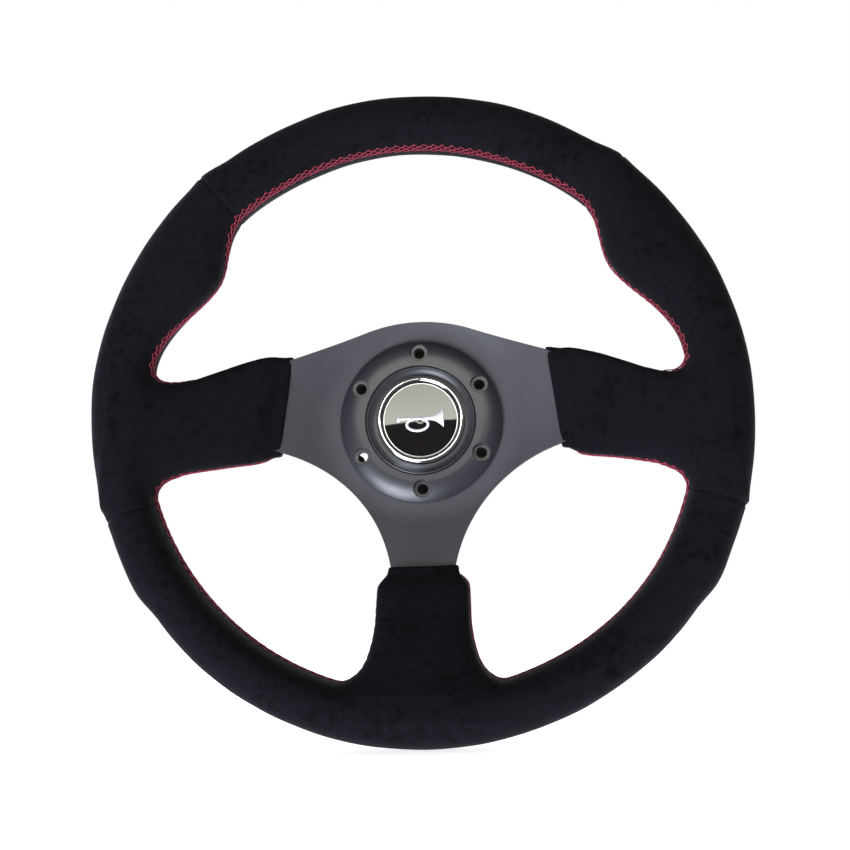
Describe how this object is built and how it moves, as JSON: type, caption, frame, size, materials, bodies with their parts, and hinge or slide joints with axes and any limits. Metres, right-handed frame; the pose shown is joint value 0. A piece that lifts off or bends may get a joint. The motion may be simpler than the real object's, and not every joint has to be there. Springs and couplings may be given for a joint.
{
  "type": "sport steering wheel",
  "caption": "Three-spoke suede-covered sport steering wheel with thumb grips, a dished plate, a bolted centre ring and a spring-loaded horn push in a shallow bowl.",
  "frame": {"origin": "centre of the bolt circle on the plate's back face, which meets the hub", "axes": "+Y from the driver toward the hub along the wheel's axis, +X right as the driver sees it, +Z to 12 o'clock"},
  "size_m": [0.32, 0.078, 0.3172],
  "materials": {
    "anodised_plate": "matte dark grey anodised",
    "bare_aluminium": "mill finish",
    "foam": "moulded polyurethane",
    "suede": "napped black suede",
    "red_thread": "crimson cross stitch",
    "satin_plastic": "satin grey-blue",
    "base_plastic": "phenolic brown",
    "steel": "zinc plated",
    "brass": "plain brass",
    "cap_plastic": "moulded black",
    "chrome": "bright chrome",
    "badge_gloss": "glossy black dome"
  },
  "bodies": {
    "wheel": {"spoke_plate": "anodised_plate", "rim_core": "bare_aluminium", "core_rivets": "bare_aluminium", "rim_foam": "foam", "suede_top": "suede", "suede_left": "suede", "suede_right": "suede", "suede_bottom": "suede", "thread_upper": "red_thread", "thread_lower_left": "red_thread", "thread_lower_right": "red_thread", "horn_bezel": "satin_plastic", "horn_housing": "satin_plastic", "contact_base": "base_plastic", "base_screws": "steel", "fixed_contact": "brass", "spring_seat": "brass", "terminals": "brass", "terminal_rivets": "brass", "return_spring": "steel"},
    "horn_button": {"push_cap": "cap_plastic", "chrome_ring": "chrome", "badge_plate": "bare_aluminium", "badge_dome": "badge_gloss", "moving_contact": "brass"}
  },
  "joints": [
    {"name": "horn_press", "type": "slide", "parent": "wheel", "child": "horn_button", "axis": [0, 1, 0], "range_m": [0, 0.002], "stiffness_N_per_m": 2500, "springref_m": -0.002, "deforming": ["return_spring"]}
  ]
}
